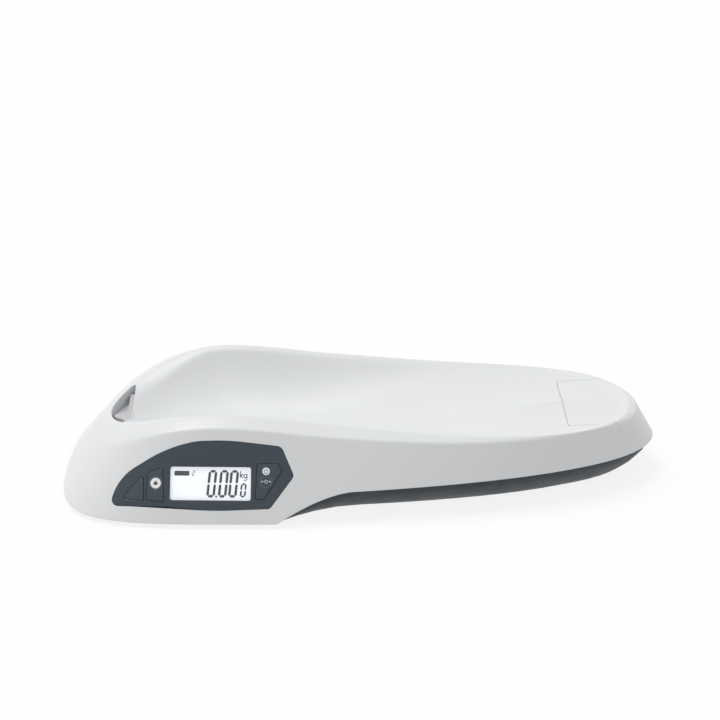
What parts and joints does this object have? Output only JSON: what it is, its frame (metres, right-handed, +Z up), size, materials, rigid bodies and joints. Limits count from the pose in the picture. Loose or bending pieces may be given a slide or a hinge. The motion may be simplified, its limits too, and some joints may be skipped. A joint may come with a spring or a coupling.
{
  "type": "digital baby weighing scale",
  "caption": "Digital baby weighing scale: a curved cradle housing on a dark base, with a display console, press keys, load-cell feet and a sliding battery door.",
  "frame": {"origin": "on the floor under the middle of the overall length and width", "axes": "+X from the head end towards the foot end, +Y from the console side towards the back, +Z up"},
  "size_m": [0.649, 0.333, 0.1015],
  "materials": {
    "housing_white": "satin moulded",
    "base_slate": "fine texture moulded",
    "panel_slate": "satin",
    "key_slate": "satin",
    "display_clear": "clear",
    "display_white": "smooth, dark segments",
    "diffuser_white": "smooth",
    "inner_white": "moulded",
    "switch_black": "moulded",
    "board_green": "lacquered",
    "steel": "zinc plated",
    "contact_steel": "nickel plated",
    "cell_steel": "bare",
    "battery_blue": "plain sleeve",
    "pad_rubber": "moulded",
    "lead_red": "insulated wire"
  },
  "bodies": {
    "housing": {"tray_shell": "housing_white", "foot_end_cover": "housing_white", "head_insert": "housing_white", "base_tray": "base_slate", "console_panel": "panel_slate", "display_lens": "display_clear", "display_glass": "display_white", "display_backlight": "diffuser_white", "display_holder": "inner_white", "key_switches": "switch_black", "console_board": "board_green", "console_screws": "steel", "main_board": "board_green", "board_parts": "switch_black", "beeper": "switch_black", "main_board_screws": "steel", "battery_box": "base_slate", "batteries": "battery_blue", "battery_contacts": "contact_steel", "load_cells": "cell_steel", "cell_holders": "inner_white", "holder_screws": "steel", "foot_cups": "inner_white", "foot_pads": "pad_rubber", "case_screws": "steel", "sensor_leads": "lead_red", "display_lead": "inner_white"},
    "key_left": {"key_left": "key_slate"},
    "key_hold": {"key_hold": "key_slate"},
    "key_zero": {"key_zero": "key_slate"},
    "battery_door": {"battery_door": "base_slate"}
  },
  "joints": [
    {"name": "key_left_press", "type": "slide", "parent": "housing", "child": "key_left", "axis": [0.0212, 0.899, -0.4374], "range_m": [0, 0.0006], "stiffness_N_per_m": 900},
    {"name": "key_hold_press", "type": "slide", "parent": "housing", "child": "key_hold", "axis": [0.0212, 0.899, -0.4374], "range_m": [0, 0.0006], "stiffness_N_per_m": 900},
    {"name": "key_zero_press", "type": "slide", "parent": "housing", "child": "key_zero", "axis": [0.0212, 0.899, -0.4374], "range_m": [0, 0.0006], "stiffness_N_per_m": 900},
    {"name": "battery_door_slide", "type": "slide", "parent": "housing", "child": "battery_door", "axis": [1, 0, 0], "range_m": [0, 0.008]}
  ]
}
